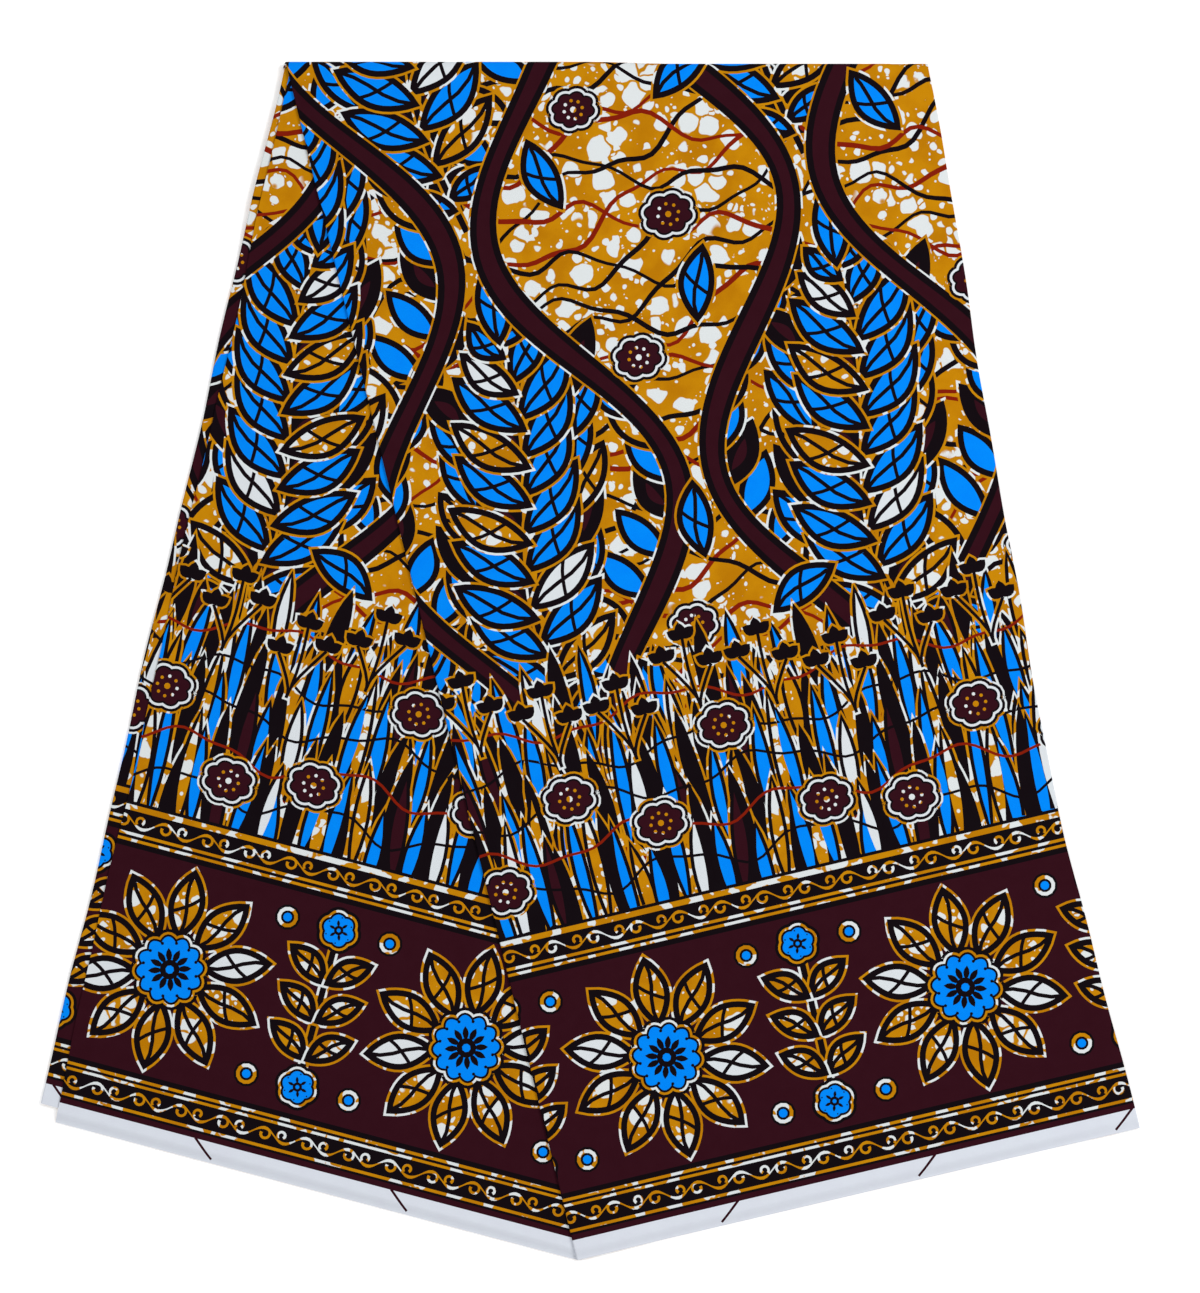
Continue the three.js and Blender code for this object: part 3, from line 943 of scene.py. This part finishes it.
def left_panel(design, material):
    """The stretch from the cut end to just past the apex, under the pleat."""
    tuck = lambda y: 0 * y + PLEAT_TUCK
    low, foot = meeting_y(left_edge, guess=95.0), float(hem_y(0.0))
    x_low, x_top = float(left_edge(low)), float(left_edge(ROLL_Y))
    outline = closed(
        hem_line(x_low, 0.0, 0.0),
        np.array([(0.0, foot), (PLEAT_TUCK, foot), (PLEAT_TUCK, 0.0)]),
        edge_line(tuck, 0.0, ROLL_Y),
        np.stack([np.linspace(PLEAT_TUCK, x_top, 30), np.full(30, ROLL_Y)], 1),
        edge_line(left_edge, low, ROLL_Y)[::-1],
    )
    bends = [hem_line(x_low - 5, 0.0, up) for up in HEM_ROWS]
    convert = to_cloth_by(-LEFT_RISE, mirrored_at=LEFT_TURN)
    shell = sheet_shell(lies_left, convert, outline, bends, design, FRONT_GRID)
    return mesh_object("front_left_cloth", [shell], material)


def v_outline(left_x, right_x, up, top_y):
    """The outline of a layer that is bent at the apex as the hem is."""
    low_left, low_right = meeting_y(left_x, up, 100.0), meeting_y(right_x, up, 100.0)
    x_left, x_right = float(left_x(low_left)), float(right_x(low_right))
    top_left, top_right = float(left_x(top_y)), float(right_x(top_y))
    return closed(
        hem_line(x_left, 0.0, up),
        hem_line(0.0, x_right, up),
        edge_line(right_x, low_right, top_y),
        np.stack([np.linspace(top_right, top_left, 60), np.full(60, top_y)], 1),
        edge_line(left_x, low_left, top_y)[::-1],
    )


SLIVER = 46.0  # width of the second layer's print that is drawn, from its fold inwards


def second_layer(design, material):
    """The next layer down, printed only near its left-hand fold."""
    tilt = cos(SECOND_EDGE["lean"])
    reach = 4.4
    left = lambda inward: (lambda y: second_edge(y) + inward / tilt)
    right_x = lambda y: right_edge(y) - 7.0
    outline = v_outline(left(-reach), right_x, INSET["second_hem"], ROLL_Y)
    bends = [edge_line(left(s), 60.0, ROLL_Y + 10) for s in turns(PLEAT_RADIUS)]
    convert = bent_cloth(INSET["second_hem"], SECOND_TURN)
    place = convert(design.starts, True)
    sliver = design.with_edges(np.abs(place[:, 0] - second_edge(place[:, 1])) < SLIVER)
    shell = sheet_shell(lies_second, convert, outline, bends, sliver, SECOND_GRID, HIDDEN_GRID)
    return mesh_object("second_layer_cloth", [shell], material)


# Hidden sheets: share of the stack's height at which each ends, and how far its left edge, right
# edge and hem stand in or out of the solid's own.
HIDDEN_SHEETS = (
    (0.25, 0.3, -0.4, 2.0),
    (0.50, -0.6, 0.5, 0.2),
    (0.75, 0.5, -0.6, 1.4),
    (1.00, -0.2, 0.2, -0.6),
)


def hidden_layers(design, material):
    """Four stacked sheets for the layers that show only at their edges."""
    shells = []
    convert = bent_cloth(INSET["hidden_hem"], HIDDEN_TURN)
    plain = design.with_edges(slice(0))
    thickness = HIDDEN_TOP / len(HIDDEN_SHEETS) - 0.05
    for share, left_in, right_in, hem_in in HIDDEN_SHEETS:
        left_x = lambda y: second_edge(y) + INSET["hidden_left"] + left_in
        right_x = lambda y: right_edge(y) - INSET["hidden_right"] - right_in
        top_y = ROLL_Y - 0.6 + 1.3 * sin(pi * (share - 0.125))
        outline = v_outline(left_x, right_x, INSET["hidden_hem"] + hem_in, top_y)
        height = lambda x, y: share * (HIDDEN_TOP + ground(x, y))
        lies = lambda x, y: np.stack([x, y, height(x, y)], -1)
        shell = sheet_shell(lies, convert, outline, [], plain, HIDDEN_GRID, HIDDEN_GRID, thickness)
        shells.append(shell)
    return mesh_object("hidden_layers_cloth", shells, material)


# ---- materials ----
def linear(colour):
    """A material colour from sRGB numbers of 0 to 255."""
    share = np.array(colour, float) / 255
    value = np.where(share <= 0.04045, share / 12.92, ((share + 0.055) / 1.055) ** 2.4)
    return (*value.tolist(), 1.0)


class Nodes:
    """Short calls for building a material's node tree."""

    def __init__(self, material):
        material.use_nodes = True
        self.tree = material.node_tree
        self.tree.nodes.clear()

    def add(self, kind, settings=None, **inputs):
        node = self.tree.nodes.new("ShaderNode" + kind)
        for key, value in (settings or {}).items():
            setattr(node, key, value)
        for key, value in inputs.items():
            self.set(node, key.replace("_", " "), value)
        return node

    def set(self, node, key, value):
        socket = node.inputs[int(key) if key.isdigit() else key]
        if isinstance(value, bpy.types.NodeSocket):
            self.tree.links.new(value, socket)
        else:
            socket.default_value = value

    def math(self, operation, a, b=0.0):
        node = self.add("Math", {"operation": operation})
        self.set(node, "0", a)
        self.set(node, "1", b)
        return node.outputs[0]

    def vector(self, operation, a, b=None, scale=None):
        node = self.add("VectorMath", {"operation": operation})
        self.set(node, "0", a)
        if b is not None:
            self.set(node, "1", b)
        if scale is not None:
            self.set(node, "Scale", scale)
        return node.outputs[0]

    def ramp(self, value, low, high):
        node = self.add("MapRange", {"interpolation_type": "SMOOTHSTEP"}, Value=value)
        self.set(node, "1", low)
        self.set(node, "2", high)
        return node.outputs[0]

    def mix(self, share, a, b, blend="MIX"):
        node = self.add("Mix", {"data_type": "RGBA", "blend_type": blend})
        self.set(node, "0", share)
        self.set(node, "6", a)
        self.set(node, "7", b)
        return node.outputs[2]

    def noise(self, vector, scale, detail=2.0, roughness=0.5, colour=False):
        node = self.add("TexNoise", Vector=vector, Scale=scale, Detail=detail, Roughness=roughness)
        return node.outputs[1 if colour else 0]

    def voronoi(self, vector, scale, feature="F1"):
        return self.add("TexVoronoi", {"feature": feature}, Vector=vector, Scale=scale)


def bubbled_ground(n, cloth):
    """1 where the wax has kept the ochre off: uneven bubbles, crossed by fine cracks."""
    shake = n.vector("SUBTRACT", n.noise(cloth, 75, 1.5, 0.5, True), (0.5, 0.5, 0.5))
    shake = n.vector("SCALE", shake, scale=0.0085)
    warped = n.vector("ADD", cloth, shake)

    def bubbles(scale, least, most, apart):
        """Bubbles from a least to a greatest size, with walls of a width between them."""
        cells = n.voronoi(warped, scale)
        size = n.add("SeparateColor", Color=cells.outputs["Color"]).outputs[0]
        radius = n.math("ADD", n.math("MULTIPLY", size, most - least), least)
        body = n.ramp(n.math("SUBTRACT", radius, cells.outputs["Distance"]), 0.0, 0.03)
        walls = n.voronoi(warped, scale, "DISTANCE_TO_EDGE").outputs["Distance"]
        return n.math("MINIMUM", body, n.ramp(walls, apart, apart + 0.03))

    large = n.math("MULTIPLY", bubbles(54, 0.12, 0.62, 0.035), n.ramp(n.noise(cloth, 24, 2.0), 0.33, 0.36))
    small = bubbles(120, -0.22, 0.52, 0.05)
    tiny = bubbles(270, -1.3, 0.40, 0.08)
    return n.math("MAXIMUM", n.math("MAXIMUM", large, small), tiny)


def weave(n, cloth):
    """Height of a plain weave: warp and weft threads that take turns on top."""
    split = n.add("SeparateXYZ")
    n.set(split, "0", cloth)
    pitch = 0.00046  # metres from one thread to the next but one
    turn = [n.math("MULTIPLY", split.outputs[axis], tau / pitch) for axis in (0, 1)]
    return n.math("MULTIPLY", n.math("SINE", turn[0]), n.math("SINE", turn[1]))


def print_material():
    material = bpy.data.materials.new("wax_print_cotton")
    n = Nodes(material)
    cloth = n.add("UVMap", {"uv_map": "Cloth"}).outputs[0]
    ink = n.add("Attribute", {"attribute_name": "ink", "attribute_type": "GEOMETRY"}).outputs["Fac"]

    ochre = n.mix(n.ramp(n.noise(cloth, 34, 3.0), 0.35, 0.65), linear(OCHRE_DEEP), linear(OCHRE))
    ground_colour = n.mix(bubbled_ground(n, cloth), ochre, linear(PALE))
    dashes = n.ramp(n.noise(cloth, 62, 2.0, 0.5), 0.535, 0.55)
    line_colour = n.mix(dashes, ochre, linear(PALE))

    ramp = n.add("ValToRGB")
    ramp.color_ramp.interpolation = "CONSTANT"
    elements = ramp.color_ramp.elements
    solid = sorted(INK_COLOURS)
    while len(elements) < len(solid):
        elements.new(0.5)
    for element, number in zip(elements, solid):
        element.position = max(0.0, (number - 0.5) / INK_COUNT)
        element.color = linear(INK_COLOURS[number])
    n.set(ramp, "Fac", n.math("DIVIDE", ink, float(INK_COUNT)))
    mottle = n.ramp(n.noise(cloth, 75, 4.0, 0.62), 0.30, 0.72)
    mottle = n.math("MULTIPLY", mottle, 0.16)
    solid_colour = n.mix(mottle, ramp.outputs[0], (0.30, 0.16, 0.20, 1), "SOFT_LIGHT")

    is_ground = n.math("LESS_THAN", ink, 0.5)
    is_line = n.math("COMPARE", ink, float(LINE))
    is_line.node.inputs[2].default_value = 0.5
    colour = n.mix(is_ground, solid_colour, ground_colour)
    colour = n.mix(is_line, colour, line_colour)

    threads = weave(n, cloth)
    colour = n.mix(n.math("MULTIPLY", n.ramp(threads, -1.0, 1.0), 0.10), colour, (0.0, 0.0, 0.0, 1))
    slub = n.noise(cloth, 260, 3.0, 0.6)
    height = n.math("ADD", n.math("MULTIPLY", threads, 0.10), n.math("MULTIPLY", slub, 0.35))
    bump = n.add("Bump", Strength=0.35, Distance=0.00022, Height=height)
    rough = n.math("ADD", n.math("MULTIPLY", n.noise(cloth, 30, 2.0), 0.14), 0.58)
    shader = n.add("BsdfPrincipled", Base_Color=colour, Roughness=rough, Normal=bump.outputs[0])
    shader.inputs["Specular IOR Level"].default_value = 0.0
    n.add("OutputMaterial", Surface=shader.outputs[0])
    return material


def floor_material():
    material = bpy.data.materials.new("studio_floor")
    n = Nodes(material)
    shader = n.add("BsdfPrincipled", Base_Color=(0.92, 0.92, 0.92, 1), Roughness=0.9)
    shader.inputs["Emission Color"].default_value = (1, 1, 1, 1)
    shader.inputs["Emission Strength"].default_value = 0.22
    n.add("OutputMaterial", Surface=shader.outputs[0])
    return material


# ---- camera, light and floor ----
PIXEL = 0.815  # millimetres for each pixel of the 1200 x 1293 picture
PICTURE = (1200, 1293)
APEX_PIXEL = (577, 1239)
CAMERA_HEIGHT = 3400.0


def stage():
    half = 6.0
    corners = [(-half, -half, 0), (half, -half, 0), (half, half, 0), (-half, half, 0)]
    mesh = bpy.data.meshes.new("floor")
    mesh.from_pydata(corners, [], [(0, 1, 2, 3)])
    mesh.materials.append(floor_material())
    placed("floor", mesh)


def camera():
    data = bpy.data.cameras.new("camera")
    data.sensor_fit = "VERTICAL"
    data.sensor_height = 36.0
    data.lens = data.sensor_height * CAMERA_HEIGHT / (PICTURE[1] * PIXEL)
    data.clip_end = 50
    made = placed("camera", data)
    middle_x = (PICTURE[0] / 2 - APEX_PIXEL[0]) * PIXEL + ORIGIN[0]
    middle_y = (APEX_PIXEL[1] - PICTURE[1] / 2) * PIXEL + ORIGIN[1]
    made.location = (middle_x * MM, middle_y * MM, (CAMERA_HEIGHT + FRONT_TOP) * MM)
    bpy.context.scene.camera = made


LAMPS = (  # name, place in metres, size, watts
    ("key", (1.9, 1.0, 2.5), 1.3, 62.0),
    ("fill", (-1.9, 0.6, 2.6), 2.4, 24.0),
    ("front", (0.1, -2.2, 2.2), 2.2, 18.0),
)
SKY = 0.44


def lights():
    for name, place, size, watts in LAMPS:
        data = bpy.data.lights.new(name, "AREA")
        data.size = size
        data.energy = watts
        lamp = placed(name, data)
        lamp.location = place
        lamp.rotation_euler = (-Vector(place)).to_track_quat("-Z", "Y").to_euler()
    world = bpy.data.worlds.new("studio")
    world.use_nodes = True
    background = world.node_tree.nodes["Background"]
    background.inputs["Color"].default_value = (1, 1, 1, 1)
    background.inputs["Strength"].default_value = SKY
    bpy.context.scene.world = world
    bpy.context.scene.view_settings.view_transform = "Standard"


# ---- the scene ----
camera()
lights()
stage()

design = wax_print()
cotton = print_material()
right = right_panel(design, cotton)
left = left_panel(design, cotton)
second = second_layer(design, cotton)
hidden = hidden_layers(design, cotton)

for piece, node, slot in (
    (right, "front_right_panel", "wax_print"),
    (left, "front_left_panel", "wax_print"),
    (second, "second_layer", "wax_print"),
    (hidden, "hidden_layers", "layered_edge"),
):
    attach(piece, "root")
    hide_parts(node)
